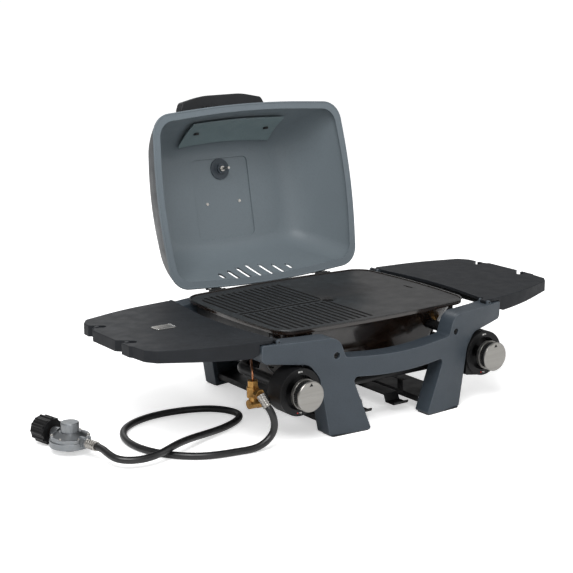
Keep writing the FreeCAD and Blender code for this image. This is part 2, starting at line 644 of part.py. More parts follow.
def leaf_screws():
    screws = []
    for x in (HINGE_X - 7, HINGE_X + 7):
        screw = rod(4.0, Vector(x, 190, LID_Z + 22), Vector(x, 206, LID_Z + 20)).cut(lid_solid(2.2))
        outside = [solid for solid in screw.Solids if solid.CenterOfMass.y > 192]
        screws += [mirrored for solid in outside for mirrored in both_sides(solid)]
    return screws


def hinge_bracket():
    """Base under the rear rim with two ears that hold the pin."""
    x0, x1 = HINGE_X - 20, HINGE_X + 18
    base = box(x0, x1, 182, 204.5, LEDGE_Z - 1.8, LEDGE_Z)
    ears = []
    for low, high in ((x0, x0 + 6), (x1 - 4.5, x1)):
        ear = rod(5.6, Vector(low, HINGE_Y, HINGE_Z), Vector(high, HINGE_Y, HINGE_Z))
        heel = box(low, high, 199.5, HINGE_Y, LEDGE_Z - 1.8, HINGE_Z + 3)
        ears += [ear.cut(box(0, BIG, 0, BIG, 0, LEDGE_Z - 1.8)), heel]
    rim = bulged_prism(RIM_HALF_X + 0.2, RIM_HALF_Y + 0.2, RIM_Y, RIM_CORNER, LEDGE_Z, RIM_TOP)
    bore = rod(PIN_RADIUS, Vector(x0 - 5, HINGE_Y, HINGE_Z), Vector(x1 + 5, HINGE_Y, HINGE_Z))
    bracket = fuse([base] + ears)
    return bracket.cut([rim, bore, bowl_solid(-0.05)])


def hinge_pin():
    return rod(PIN_RADIUS, Vector(HINGE_X - 22, HINGE_Y, HINGE_Z), Vector(HINGE_X + 20, HINGE_Y, HINGE_Z))


# ---------------------------------------------------------------- controls

def knob_axis(y):
    return Vector(KNOB_X, y, KNOB_Z)


def bezel():
    """Control drum with a squared lower tail beside the leg."""
    drum = rod(BEZEL_RADIUS, knob_axis(BEZEL_FRONT), knob_axis(BEZEL_BACK))
    tail = prism_y([(KNOB_X - 44, 100, 2), (KNOB_X - 46, 62, 4), (KNOB_X - 8, 56, 4), (KNOB_X, 90, 2)],
                   BEZEL_FRONT + 3, BEZEL_BACK)
    cuts = [rod(RECESS_RADIUS, knob_axis(BEZEL_FRONT - 1), knob_axis(RECESS_FLOOR)),
            rod(6.0, knob_axis(-220), knob_axis(-150)),
            rod(38.0, knob_axis(-192), knob_axis(BEZEL_BACK + 1))]
    return fuse([drum, tail]).cut(cuts)


def knob_grip():
    band = rod(27.0, knob_axis(-248), knob_axis(-236))
    hub = rod(12.0, knob_axis(-236), knob_axis(-203))
    flutes = [rod(1.6, Vector(KNOB_X + 27.4 * math.cos(a), -249, KNOB_Z + 27.4 * math.sin(a)),
                  Vector(KNOB_X + 27.4 * math.cos(a), -235, KNOB_Z + 27.4 * math.sin(a)))
              for a in [k * math.pi / 18 for k in range(36)]]
    bore = rod(SPINDLE_RADIUS, knob_axis(-243), knob_axis(-200))
    return fuse([band, hub]).cut(flutes + [bore])


def knob_face():
    disc = rod(FACE_RADIUS, knob_axis(FACE_Y), knob_axis(-248))
    rim = [edge for edge in disc.Edges if edge.BoundBox.YMax < FACE_Y + 0.1]
    return disc.makeChamfer(1.6, rim)


def knob_ring():
    return tube(FACE_RADIUS, 12.0, knob_axis(-236), knob_axis(-228))


def knob_pointer():
    tip = KNOB_Z + 26.5
    return prism_y([(KNOB_X - 4, tip - 6, 0), (KNOB_X + 4, tip - 6, 0), (KNOB_X, tip, 0)],
                   FACE_Y - 0.5, FACE_Y)


def spindle():
    return rod(SPINDLE_RADIUS, knob_axis(-243), knob_axis(-166))


def collar():
    return tube(9.0, SPINDLE_RADIUS + RUNNING, knob_axis(-190), knob_axis(-187))


def valve():
    flange = rod(37.5, knob_axis(-182.5), knob_axis(-178))
    body = rod(15.0, knob_axis(-178), knob_axis(-150))
    block = box(KNOB_X - 12, KNOB_X + 12, -178, -152, TUBE_Z, KNOB_Z)
    jet = rod(4.0, knob_axis(-150), knob_axis(-144))
    bore = rod(SPINDLE_RADIUS + RUNNING, knob_axis(-190), knob_axis(-160))
    manifold_bore = rod(TUBE_RADIUS, Vector(100, TUBE_Y, TUBE_Z), Vector(BIG, TUBE_Y, TUBE_Z))
    return fuse([flange, body, block, jet]).cut([bore, manifold_bore])


# ---------------------------------------------------------------- gas train

def manifold():
    return tube(TUBE_RADIUS, TUBE_RADIUS - 1.5, Vector(-296, TUBE_Y, TUBE_Z), Vector(240, TUBE_Y, TUBE_Z))


def manifold_clamp():
    strap = box(171, 179, -182, TUBE_Y + 9, TUBE_Z - 9, TUBE_Z + 9)
    ring = bow_ring(BOW_RADIUS + 60, BOW_RADIUS - FRAME_DEPTH)
    return strap.cut([ring, rod(TUBE_RADIUS, Vector(100, TUBE_Y, TUBE_Z), Vector(BIG, TUBE_Y, TUBE_Z))])


def brass_fitting():
    """Upright valve piece: manifold low on its right, hose outlet in front, copper tube above."""
    collar_nut = hexagon(19.0, FITTING + Vector(22, 0, 0), FITTING + Vector(10, 0, 0))
    elbow = rod(9.0, FITTING + Vector(10, 0, 0), FITTING + Vector(-9.5, 0, 0))
    riser = rod(8.0, FITTING, FITTING + Vector(0, 0, RISER))
    outlet = FITTING + Vector(0, 0, OUTLET_RISE)
    waist = hexagon(22.0, outlet - Vector(0, 0, 10), outlet + Vector(0, 0, 10))
    riser_nut = hexagon(18.5, FITTING + Vector(0, 0, RISER - 8), FITTING + Vector(0, 0, RISER + 8))
    front = rod(7.5, outlet, outlet + Vector(0, -22, 0))
    front_nut = hexagon(18.0, outlet + Vector(0, -14, 0), outlet + Vector(0, -26, 0))
    bore = rod(TUBE_RADIUS, FITTING + Vector(9, 0, 0), FITTING + Vector(40, 0, 0))
    tip_bore = rod(3.0, FITTING + Vector(0, 0, RISER), FITTING + Vector(0, 0, RISER + 20))
    return fuse([collar_nut, elbow, riser, waist, riser_nut, front, front_nut]).cut([bore, tip_bore])


def regulator_place(point):
    """A point given about the regulator, with +Y towards its coupling nut."""
    turn = FreeCAD.Rotation(Z_AXIS, REGULATOR_TURN)
    return REGULATOR + turn.multVec(point)


def hose_ferrules():
    start = HOSE_TOP
    end = HOSE_TOP + SLEEVE_DIRECTION * SLEEVE_LENGTH
    low = regulator_place(Vector(0, -50, 0))
    high = regulator_place(Vector(0, -76, 0))
    sleeves = [rod(9.0, start, end), rod(9.0, low, high)]
    grooves = []
    for first, last in ((start, end), (low, high)):
        step = (last - first) * 0.2
        for k in (1, 2, 3, 4):
            centre = first + step * k
            half = (last - first).normalize() * 1.2
            grooves.append(tube(12.0, 8.2, centre - half, centre + half))
    grooves.append(brass_fitting())
    return [sleeve.cut(grooves) for sleeve in sleeves]


def hose():
    """Rubber hose: down from the fitting, one loop on the ground, then over itself to the regulator."""
    ground = HOSE_RADIUS + 0.3
    start = HOSE_TOP + SLEEVE_DIRECTION * SLEEVE_LENGTH
    finish = regulator_place(Vector(0, -76, 0))
    inlet = regulator_place(Vector(0, -50, 0))
    route = [start, start + SLEEVE_DIRECTION * 14, Vector(-292, -212, 34), Vector(-318, -210, 12),
             Vector(-358, -204, ground), Vector(-430, -186, ground), Vector(-482, -136, ground),
             Vector(-505, -60, ground), Vector(-474, 30, ground), Vector(-395, 70, ground),
             Vector(-318, 66, ground), Vector(-258, 34, ground), Vector(-243, -20, ground + 1),
             Vector(-290, -66, ground + 2), Vector(-374, -102, 15), Vector(-470, -146, 23),
             Vector(-540, -162, 18), Vector(-584, -138, 20), finish + (finish - inlet) * 0.3, finish]
    curve = Part.BSplineCurve()
    curve.interpolate(Points=route)
    path = Part.Wire(curve.toShape())
    ring = Part.Wire(Part.makeCircle(HOSE_RADIUS, start, curve.tangent(curve.FirstParameter)[0]))
    return path.makePipeShell([ring], True, True)


def copper_tube():
    """Thin tube that rises from the fitting and bends towards the firebox."""
    base = FITTING + Vector(0, 0, RISER + 8)
    route = [base + Vector(0, 0, 0.8), base + Vector(0, 0, 10), base + Vector(4, 8, 22),
             base + Vector(20, 34, 34), base + Vector(52, 60, 36)]
    curve = Part.BSplineCurve()
    curve.interpolate(Points=route)
    ring = Part.Wire(Part.makeCircle(2.0, route[0], curve.tangent(curve.FirstParameter)[0]))
    return Part.Wire(curve.toShape()).makePipeShell([ring], True, True)


def igniter_lead():
    """Insulated wire from the valve's igniter to the firebox side."""
    start = Vector(KNOB_X + 20, -176.5, KNOB_Z + 22)
    route = [start, start + Vector(3, 13, 8), start + Vector(1, 30, 12), Vector(KNOB_X - 2, -126, 128)]
    curve = Part.BSplineCurve()
    curve.interpolate(Points=route)
    ring = Part.Wire(Part.makeCircle(1.8, start, curve.tangent(curve.FirstParameter)[0]))
    return Part.Wire(curve.toShape()).makePipeShell([ring], True, True)


def turn_regulator(shape):
    placed = shape.copy()
    placed.rotate(ORIGIN, Z_AXIS, REGULATOR_TURN)
    placed.translate(REGULATOR)
    return placed


def regulator_body():
    disc = rod(REGULATOR_RADIUS, Vector(0, 0, -14), Vector(0, 0, -2))
    flange = rod(REGULATOR_RADIUS - 2, Vector(0, 0, -2), Vector(0, 0, 5))
    crown = Part.makeCone(REGULATOR_RADIUS - 6, 20, 8, Vector(0, 0, 5))
    base = Part.makeCone(18, REGULATOR_RADIUS - 4, 8, Vector(0, 0, -22))
    neck = rod(12.0, Vector(0, 30, 0), Vector(0, 46, 0))
    outlet = rod(10.0, Vector(0, -30, 0), Vector(0, -44, 0))
    outlet_nut = hexagon(18.0, Vector(0, -44, 0), Vector(0, -50, 0))
    return turn_regulator(fuse([disc, flange, crown, base, neck, outlet, outlet_nut]))


def regulator_cap():
    cap = rod(17.5, Vector(0, 0, 13), Vector(0, 0, 31))
    rim = [edge for edge in cap.Edges if edge.BoundBox.ZMin > 30.9]
    return turn_regulator(cap.makeFillet(2.5, rim))


def coupling_nipple():
    return turn_regulator(fuse([rod(8.0, Vector(0, 46, 0), Vector(0, 70, 0)),
                                rod(5.0, Vector(0, 70, 0), Vector(0, 74, 0))]))


def coupling_nut():
    """Ribbed hand nut; its open mouth takes the cylinder valve."""
    core = rod(NUT_RADIUS - 3, Vector(0, 50, 0), Vector(0, 88, 0))
    ribs = [rod(3.6, Vector(23 * math.cos(a), 52, 23 * math.sin(a)),
                Vector(23 * math.cos(a), 86, 23 * math.sin(a)))
            for a in [k * math.pi / 6 for k in range(12)]]
    bore = rod(8.0 + RUNNING, Vector(0, 45, 0), Vector(0, 75, 0))
    mouth = rod(16.7, Vector(0, 74.5, 0), Vector(0, 92, 0))
    return turn_regulator(fuse([core] + ribs).cut([bore, mouth]))


def main():
    front = front_frame()
    save("front_frame", [front])
    save("rear_frame", [mirror_y(front)])
    save("foot_pads", foot_pads())
    save("frame_screws", frame_screws())
    save("base_rails", both_sides(base_rail()))
    save("firebox", [firebox()])
    save("firebox_standoffs", standoffs())
    save("side_deflectors", both_sides(side_deflector()))
    save("cooking_plate", [cooking_plate()])
    right_burner = burner()
    save("right_burner", [right_burner])
    save("left_burner", [mirror_x(right_burner)])
    save("drip_tray", [drip_tray()])
    save("tray_straps", both_sides(tray_strap()))
    save("tray_guides", both_sides(tray_guide()))
    table = right_table()
    save("right_table", [table])
    save("left_table", [mirror_x(table)])
    save("table_hinge_pins", table_pins())
    save("badge_plate", [badge_plate()])
    lid_parts = {
        "lid_shell": [lid_shell()], "lid_handle": [handle_grip()], "handle_feet": handle_feet(),
        "heat_shield": [heat_shield()], "shield_studs": shield_studs(), "lid_rivets": lid_rivets(),
        "thermometer_case": [thermometer_case()], "thermometer_dial": [thermometer_dial()],
        "thermometer_needle": [thermometer_needle()], "thermometer_lens": [thermometer_lens()],
        "thermometer_nut": [thermometer_nut()],
        "lid_hinge_leaves": both_sides(hinge_leaf()), "hinge_leaf_screws": leaf_screws()}
    for name, shapes in lid_parts.items():
        save(name, [open_lid(shape) for shape in shapes])
    save("lid_hinge_brackets", both_sides(hinge_bracket()))
    save("lid_hinge_pins", both_sides(hinge_pin()))
    controls = {"bezel": bezel, "knob_grip": knob_grip, "knob_face": knob_face, "knob_ring": knob_ring,
                "knob_pointer": knob_pointer, "spindle": spindle, "spindle_collar": collar, "valve": valve}
    for name, make in controls.items():
        right = make()
        save("right_" + name, [right])
        save("left_" + name, [mirror_x(right)])
    save("manifold", [manifold()])
    save("manifold_clamps", both_sides(manifold_clamp()))
    save("brass_fitting", [brass_fitting()])
    save("hose_ferrules", hose_ferrules())
    save("gas_hose", [hose().cut(hose_ferrules())])
    save("copper_tube", [copper_tube()])
    save("igniter_leads", both_sides(igniter_lead()))
    save("regulator_body", [regulator_body()])
    save("regulator_cap", [regulator_cap()])
    save("coupling_nipple", [coupling_nipple()])
    save("coupling_nut", [coupling_nut()])


main()
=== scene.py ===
import json
import math

import bmesh
import bpy
from mathutils import Matrix, Vector


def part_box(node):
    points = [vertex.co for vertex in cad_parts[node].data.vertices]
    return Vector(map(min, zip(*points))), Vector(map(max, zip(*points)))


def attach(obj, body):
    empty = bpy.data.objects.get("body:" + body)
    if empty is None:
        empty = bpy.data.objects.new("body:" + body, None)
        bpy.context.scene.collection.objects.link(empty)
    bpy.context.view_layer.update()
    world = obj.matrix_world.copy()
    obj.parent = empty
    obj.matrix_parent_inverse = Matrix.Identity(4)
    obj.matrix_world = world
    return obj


# Looks of the folding camp grill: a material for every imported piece, small trim, and the studio round it.
# Metres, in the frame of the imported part.

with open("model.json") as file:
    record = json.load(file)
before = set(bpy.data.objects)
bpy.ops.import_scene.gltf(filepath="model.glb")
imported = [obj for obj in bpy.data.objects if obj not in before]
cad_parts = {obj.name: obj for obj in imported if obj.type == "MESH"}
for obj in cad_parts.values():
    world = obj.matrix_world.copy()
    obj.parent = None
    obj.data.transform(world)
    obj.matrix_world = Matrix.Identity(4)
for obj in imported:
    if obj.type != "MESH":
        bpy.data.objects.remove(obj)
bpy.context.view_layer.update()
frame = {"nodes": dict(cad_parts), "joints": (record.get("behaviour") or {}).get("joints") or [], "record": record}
NODES = frame["nodes"]
JOINTS = {joint["name"]: joint for joint in frame["joints"]}

# ---------------------------------------------------------------- colours (linear)

SLATE = (0.037, 0.048, 0.060)
# Edge colour of the slate paints: wear and painted highlight
SLATE_EDGE_WEAR_AND_HIGHLIGHT = (0.110, 0.132, 0.155)
LID_INSIDE = (0.150, 0.178, 0.196)
LID_RIM = (0.125, 0.150, 0.168)
SHIELD = (0.165, 0.215, 0.225)
LID_OUTSIDE = (0.026, 0.032, 0.038)
TABLE_GREY = (0.0105, 0.0120, 0.0145)
ENAMEL = (0.010, 0.0055, 0.0035)
CAST = (0.019, 0.019, 0.020)
BLACK = (0.006, 0.006, 0.0065)
SATIN_BLACK = (0.006, 0.006, 0.0065)
GRIP_GREY = (0.020, 0.021, 0.023)
STEEL = (0.52, 0.50, 0.47)
NICKEL = (0.34, 0.33, 0.31)
CHROME = (0.72, 0.72, 0.72)
BRASS = (0.42, 0.235, 0.075)
COPPER = (0.38, 0.16, 0.08)
RUBBER = (0.005, 0.005, 0.0055)
ZINC = (0.27, 0.285, 0.30)
LIP_GREY = (0.10, 0.10, 0.10)
WHITE_MARK = (0.62, 0.62, 0.60)
RED_MARK = (0.55, 0.02, 0.02)


def scaled(color, factor):
    """The colour made darker or lighter."""
    return tuple(min(1.0, channel * factor) for channel in color)


# ---------------------------------------------------------------- materials

class Surface:
    """A Principled material built up from procedural layers in object space."""

    def __init__(self, name, color, roughness, metallic=0.0, specular=0.22, rounding=0.0008):
        self.material = bpy.data.materials.new(name)
        self.material.use_nodes = True
        self.tree = self.material.node_tree
        self.shader = self.tree.nodes["Principled BSDF"]
        self.shader.inputs["Metallic"].default_value = metallic
        self.shader.inputs["Specular IOR Level"].default_value = 0.5 if metallic else specular
        self.coordinates = self.tree.nodes.new("ShaderNodeTexCoord").outputs["Object"]
        self.color = self.rgb(color)
        self.roughness = self.value(roughness)
        rounded = self.node("ShaderNodeBevel", samples=4)
        rounded.inputs["Radius"].default_value = rounding
        self.normal = rounded.outputs["Normal"]

    def node(self, kind, **settings):
        node = self.tree.nodes.new(kind)
        for key, value in settings.items():
            setattr(node, key, value)
        return node

    def link(self, source, target):
        self.tree.links.new(source, target)

    def rgb(self, color):
        node = self.node("ShaderNodeRGB")
        node.outputs[0].default_value = (*color, 1.0)
        return node.outputs[0]

    def value(self, number):
        node = self.node("ShaderNodeValue")
        node.outputs[0].default_value = number
        return node.outputs[0]

    def stretched(self, scale):
        node = self.node("ShaderNodeMapping")
        node.inputs["Scale"].default_value = scale
        self.link(self.coordinates, node.inputs["Vector"])
        return node.outputs["Vector"]

    def noise(self, size, detail=3.0, stretch=None):
        """Noise whose features are about size metres across."""
        node = self.node("ShaderNodeTexNoise")
        node.inputs["Scale"].default_value = 1.0 / size
        node.inputs["Detail"].default_value = detail
        self.link(self.stretched(stretch) if stretch else self.coordinates, node.inputs["Vector"])
        return node.outputs["Fac"]

    def cells(self, size):
        node = self.node("ShaderNodeTexVoronoi")
        node.inputs["Scale"].default_value = 1.0 / size
        self.link(self.coordinates, node.inputs["Vector"])
        return node.outputs["Distance"]

    def ramp(self, source, low, high, start=0.0, end=1.0):
        node = self.node("ShaderNodeMapRange")
        for name, number in (("From Min", low), ("From Max", high), ("To Min", start), ("To Max", end)):
            node.inputs[name].default_value = number
        self.link(source, node.inputs["Value"])
        return node.outputs["Result"]

    def mottle(self, size, color, low=0.45, high=0.7, amount=1.0):
        """Blends patches of a second colour into the base."""
        self.tint(self.ramp(self.noise(size), low, high, 0.0, amount), color)

    def tint(self, factor, color):
        mix = self.node("ShaderNodeMix", data_type="RGBA")
        self.link(factor, mix.inputs["Factor"])
        self.link(self.color, mix.inputs["A"])
        mix.inputs["B"].default_value = (*color, 1.0)
        self.color = mix.outputs["Result"]

    def edge_wear_and_highlight(self, color, amount=0.6, reach=0.003):
        """Lightens edges as wear and painted highlight: where the normal averaged over reach metres leaves the
        face's own.
        """
        average = self.node("ShaderNodeBevel", samples=4)
        average.inputs["Radius"].default_value = reach
        geometry = self.node("ShaderNodeNewGeometry")
        agree = self.node("ShaderNodeVectorMath", operation="DOT_PRODUCT")
        self.link(average.outputs["Normal"], agree.inputs[0])
        self.link(geometry.outputs["Normal"], agree.inputs[1])
        edge = self.ramp(agree.outputs["Value"], 0.995, 0.93)
        broken = self.node("ShaderNodeMath", operation="MULTIPLY")
        self.link(edge, broken.inputs[0])
        self.link(self.ramp(self.noise(0.006), 0.35, 0.65, 0.45 * amount, amount), broken.inputs[1])
        self.tint(broken.outputs[0], color)

    def pale_upward_faces(self, color, amount=0.25):
        """Pales faces that look up, in noisy patches."""
        geometry = self.node("ShaderNodeNewGeometry")
        split = self.node("ShaderNodeSeparateXYZ")
        self.link(geometry.outputs["Normal"], split.inputs[0])
        facing = self.ramp(split.outputs["Z"], 0.6, 1.0)
        upward_pale = self.node("ShaderNodeMath", operation="MULTIPLY")
        self.link(facing, upward_pale.inputs[0])
        self.link(self.ramp(self.noise(0.05, 5.0), 0.35, 0.7, 0.0, amount), upward_pale.inputs[1])
        self.tint(upward_pale.outputs[0], color)

    def vary_roughness(self, size, low, high, stretch=None):
        self.roughness = self.ramp(self.noise(size, 4.0, stretch), 0.3, 0.7, low, high)

    def bump(self, height, depth, strength=1.0):
        node = self.node("ShaderNodeBump")
        node.inputs["Strength"].default_value = strength
        node.inputs["Distance"].default_value = depth
        self.link(height, node.inputs["Height"])
        self.link(self.normal, node.inputs["Normal"])
        self.normal = node.outputs["Normal"]

    def coat(self, weight, roughness):
        self.shader.inputs["Coat Weight"].default_value = weight
        self.shader.inputs["Coat Roughness"].default_value = roughness

    def done(self):
        self.link(self.color, self.shader.inputs["Base Color"])
        self.link(self.roughness, self.shader.inputs["Roughness"])
        self.link(self.normal, self.shader.inputs["Normal"])
        return self.material


def textured_paint(name, color, grain=0.0011, depth=0.00022, edge_wear_and_highlight_color=SLATE_EDGE_WEAR_AND_HIGHLIGHT):
    """Powder coat: fine pebbled grain, faint mottling and edges lightened as wear and painted highlight."""
    surface = Surface(name, color, 0.5, specular=0.38, rounding=0.0028)
    surface.mottle(0.05, scaled(color, 1.18), 0.4, 0.75, 0.6)
    surface.mottle(0.0016, scaled(color, 0.62), 0.5, 0.72, 0.55)
    surface.vary_roughness(0.03, 0.36, 0.5)
    surface.edge_wear_and_highlight(edge_wear_and_highlight_color, 0.8)
    surface.bump(surface.noise(grain, 3.0), depth, 0.8)
    surface.bump(surface.cells(grain * 2.4), depth * 0.8, 0.35)
    return surface.done()


def smooth_paint(name, color, low=0.34, high=0.46):
    surface = Surface(name, color, 0.4)
    surface.mottle(0.12, scaled(color, 1.1), 0.35, 0.75, 0.7)
    surface.mottle(0.004, scaled(color, 0.93), 0.45, 0.7, 0.5)
    surface.vary_roughness(0.02, low, high)
    surface.bump(surface.noise(0.0022, 2.0), 0.00006, 0.6)
    surface.bump(surface.noise(0.05, 1.0), 0.0006, 0.25)
    return surface.done()


def moulded_plastic(name, color, grain=0.0007, depth=0.00012, low=0.42, high=0.55, upward_paleness=0.0):
    surface = Surface(name, color, 0.5)
    surface.mottle(0.04, scaled(color, 1.25), 0.4, 0.75, 0.6)
    surface.vary_roughness(0.025, low, high)
    if upward_paleness:
        surface.pale_upward_faces(scaled(color, 2.2), upward_paleness)
    # Lighter edges: wear and painted highlight
    surface.edge_wear_and_highlight(scaled(color, 3.2), amount=0.5, reach=0.002)
    surface.bump(surface.noise(grain, 2.0), depth, 0.7)
    return surface.done()


def brushed_metal(name, color, stretch, low=0.22, high=0.38, depth=0.00003):
    """Metal with fine parallel scratches along the least stretched axis."""
    surface = Surface(name, color, 0.3, 1.0)
    surface.tint(surface.ramp(surface.noise(0.01, 6.0, stretch), 0.4, 0.65, 0.0, 0.5),
                 scaled(color, 0.8))
    surface.vary_roughness(0.006, low, high, stretch)
    surface.bump(surface.noise(0.004, 4.0, stretch), depth, 0.5)
    return surface.done()


def cast_metal(name, color, low, high, depth, dark, metallic=1.0):
    surface = Surface(name, color, 0.4, metallic)
    surface.mottle(0.012, dark, 0.42, 0.72, 0.55)
    surface.vary_roughness(0.008, low, high)
    # Lighter edges: wear and painted highlight
    surface.edge_wear_and_highlight(scaled(color, 1.4), amount=0.5)
    surface.bump(surface.noise(0.0016, 4.0), depth, 0.6)
    return surface.done()


def seasoned_iron():
    """Cast cooking plate: sand-cast pebbling, oily patches, and ridges lightened as burnish and painted highlight.
    """
    surface = Surface("seasoned_iron", CAST, 0.5, specular=0.6)
    surface.mottle(0.03, (0.022, 0.0215, 0.0215), 0.4, 0.72, 0.8)
    surface.mottle(0.006, (0.008, 0.0078, 0.0078), 0.48, 0.7, 0.6)
    surface.vary_roughness(0.035, 0.3, 0.46)
    # Lighter ridges and edges: burnish and painted highlight
    surface.edge_wear_and_highlight((0.06, 0.06, 0.061), 0.6, 0.0016)
    surface.bump(surface.noise(0.0014, 4.0), 0.00035, 0.7)
    surface.bump(surface.cells(0.004), 0.0002, 0.2)
    return surface.done()


def vitreous_enamel():
    surface = Surface("vitreous_enamel", ENAMEL, 0.18, specular=0.5)
    surface.mottle(0.02, (0.018, 0.0095, 0.006), 0.42, 0.7, 0.7)
    surface.mottle(0.0009, (0.04, 0.034, 0.03), 0.66, 0.74, 0.4)
    surface.vary_roughness(0.03, 0.12, 0.24)
    surface.bump(surface.noise(0.007, 2.0), 0.00025, 0.35)
    surface.coat(0.7, 0.08)
    return surface.done()


def hose_rubber():
    surface = Surface("hose_rubber", RUBBER, 0.35, specular=0.6)
    surface.mottle(0.02, (0.010, 0.010, 0.011), 0.45, 0.75, 0.6)
    surface.vary_roughness(0.012, 0.28, 0.42)
    surface.pale_upward_faces((0.022, 0.022, 0.021), 0.25)
    surface.bump(surface.noise(0.0012, 2.0), 0.00008, 0.5)
    return surface.done()


def clear_glass():
    surface = Surface("clear_glass", (0.92, 0.95, 0.95), 0.04)
    surface.shader.inputs["Transmission Weight"].default_value = 1.0
    surface.vary_roughness(0.01, 0.02, 0.06)
    return surface.done()


def printed_mark(name, color):
    surface = Surface(name, color, 0.5)
    surface.mottle(0.002, scaled(color, 0.8), 0.4, 0.7, 0.5)
    surface.vary_roughness(0.004, 0.4, 0.6)
    return surface.done()


MATERIALS = {
    "frame_plastic": textured_paint("frame_plastic", SLATE),
    "lid_inside": smooth_paint("lid_inside", LID_INSIDE),
    "lid_rim": smooth_paint("lid_rim", LID_RIM, 0.3, 0.4),
    "lid_outside": textured_paint("lid_outside", LID_OUTSIDE, 0.0009, 0.00015),
    "table_plastic": moulded_plastic("table_plastic", TABLE_GREY, 0.0009, 0.00016, 0.46, 0.6, 0.35),
    "shield_paint": textured_paint("shield_paint", SHIELD, 0.0016, 0.0003, SLATE_EDGE_WEAR_AND_HIGHLIGHT),
    "grip_plastic": moulded_plastic("grip_plastic", GRIP_GREY, 0.0009, 0.0002, 0.4, 0.55),
    "enamel": vitreous_enamel(),
    "cast": seasoned_iron(),
    "black_steel": textured_paint("black_steel", SATIN_BLACK, 0.0007, 0.00008, (0.03, 0.03, 0.03)),
    "bright_steel": brushed_metal("bright_steel", STEEL, (0.06, 1.0, 1.0)),
    "black_plastic": moulded_plastic("black_plastic", BLACK, 0.0006, 0.00008, 0.34, 0.48),
    "nickel": brushed_metal("nickel", NICKEL, (0.05, 1.0, 1.6), 0.26, 0.42, 0.00004),
    "chrome": brushed_metal("chrome", CHROME, (1.0, 0.1, 1.0), 0.06, 0.14, 0.00001),
    "brass": cast_metal("brass", BRASS, 0.24, 0.44, 0.00008, (0.24, 0.12, 0.04)),
    "copper": cast_metal("copper", COPPER, 0.26, 0.42, 0.00004, (0.22, 0.09, 0.05)),
    "rubber": hose_rubber(),
    "zinc": cast_metal("zinc", ZINC, 0.3, 0.5, 0.0002, (0.27, 0.27, 0.265)),
    "dial": printed_mark("dial", (0.75, 0.75, 0.72)),
    "red": printed_mark("red", RED_MARK),
    "white": printed_mark("white", WHITE_MARK),
    "glass": clear_glass(),
    "lip": brushed_metal("lip", LIP_GREY, (0.2, 1.0, 1.0), 0.25, 0.4),
}

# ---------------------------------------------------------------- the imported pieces

SLOT_OF = {entry["node"]: entry["material_slot"] for entry in frame["record"]["subparts"]}
# Pieces in black steel: the screws, studs and pins are black; the burners, manifold and side deflectors are steel
# painted black as painted shade, for the shade they sit in under the firebox
BLACK_AND_SHADE_DARKENED = ("side_deflectors", "shield_studs", "frame_screws", "left_burner", "right_burner", "manifold",
             "table_hinge_pins", "lid_hinge_pins")

# Pieces whose finish is not the one of their slot
FINISH = {"heat_shield": "shield_paint", "lid_shell": "lid_outside", "thermometer_nut": "frame_plastic",
          "lid_handle": "grip_plastic", "handle_feet": "grip_plastic",
          "left_knob_ring": "nickel", "right_knob_ring": "nickel"}
FINISH.update({name: "black_steel" for name in BLACK_AND_SHADE_DARKENED})

WELD_REACH = 2e-6

# Bevel widths in metres, and the edges that count: sharper than BEVEL_DEGREES, or the node's own value
BEVEL_DEGREES = 40
BEVEL_ANGLES = {"left_knob_face": 35, "right_knob_face": 35, "regulator_body": 30, "cooking_plate": 35,
                "lid_shell": 50}
BEVELS = {
    0.0003: ("left_knob_face", "right_knob_face", "badge_plate", "heat_shield"),
    0.0004: ("foot_pads", "lid_hinge_brackets", "frame_screws", "lid_rivets"),
    0.0005: ("hose_ferrules", "tray_straps", "shield_studs"),
    0.0006: ("left_knob_grip", "right_knob_grip", "brass_fitting", "base_rails", "thermometer_nut"),
    0.0007: ("firebox",),
    0.0008: ("left_knob_ring", "right_knob_ring", "firebox_standoffs"),
    0.0009: ("coupling_nut", "cooking_plate", "lid_shell"),
    0.001: ("thermometer_case",),
    0.0012: ("left_bezel", "right_bezel", "regulator_body"),
    0.002: ("handle_feet",),
}


def soften(obj, width, degrees):
    """Rounds a CAD node's sharp edges for the camera."""
    bpy.ops.object.select_all(action="DESELECT")
    bpy.context.view_layer.objects.active = obj
    obj.select_set(True)
    if obj.data.has_custom_normals:
        bpy.ops.mesh.customdata_custom_splitnormals_clear()
    obj.data.polygons.foreach_set("use_smooth", [True] * len(obj.data.polygons))
    weld = obj.modifiers.new("weld", "WELD")
    weld.merge_threshold = WELD_REACH
    bevel = obj.modifiers.new("bevel", "BEVEL")
    bevel.width = width
    bevel.segments = 2
    bevel.limit_method = "ANGLE"
    bevel.angle_limit = math.radians(degrees)
    bevel.harden_normals = True
    bevel.use_clamp_overlap = True
    bevel.miter_outer = "MITER_ARC"


def dress_nodes():
    """Gives every CAD node its material, and its bevel if it has one."""
    for name, obj in NODES.items():
        obj.data.materials.clear()
        obj.data.materials.append(MATERIALS[FINISH.get(name, SLOT_OF[name])])
    for width, names in BEVELS.items():
        for name in names:
            soften(NODES[name], width, BEVEL_ANGLES.get(name, BEVEL_DEGREES))


# ---------------------------------------------------------------- lid

LID_JOINT = JOINTS["lid_hinge"]
LID_PIVOT = Vector(LID_JOINT["pos_m"])
HINGE_BEHIND = 0.2104       # from the middle of the feet back to the lid's hinge
HOME = Vector((LID_PIVOT.x, LID_PIVOT.y - HINGE_BEHIND, 0))     # on the ground, midway between the feet
OPEN_TURN = Matrix.Rotation(math.radians(LID_JOINT["range_deg"][0]), 4, "X")
LID_BASE_Z = 0.207
LID_HALF_X = 0.252
LID_HALF_Y = 0.193
LID_CENTRE_Y = 0.012
LID_HEIGHT = 0.148
CORNER = 0.044              # corner radius of the lid's mouth and of the firebox lip
SIDE_BOW = 0.010            # how far the sides bulge
APEX_SHARE = 0.6            # part of the bow that the rounded middle of a side keeps
RIM_DEPTH = 0.0035          # faces this close to the mouth's plane are rim


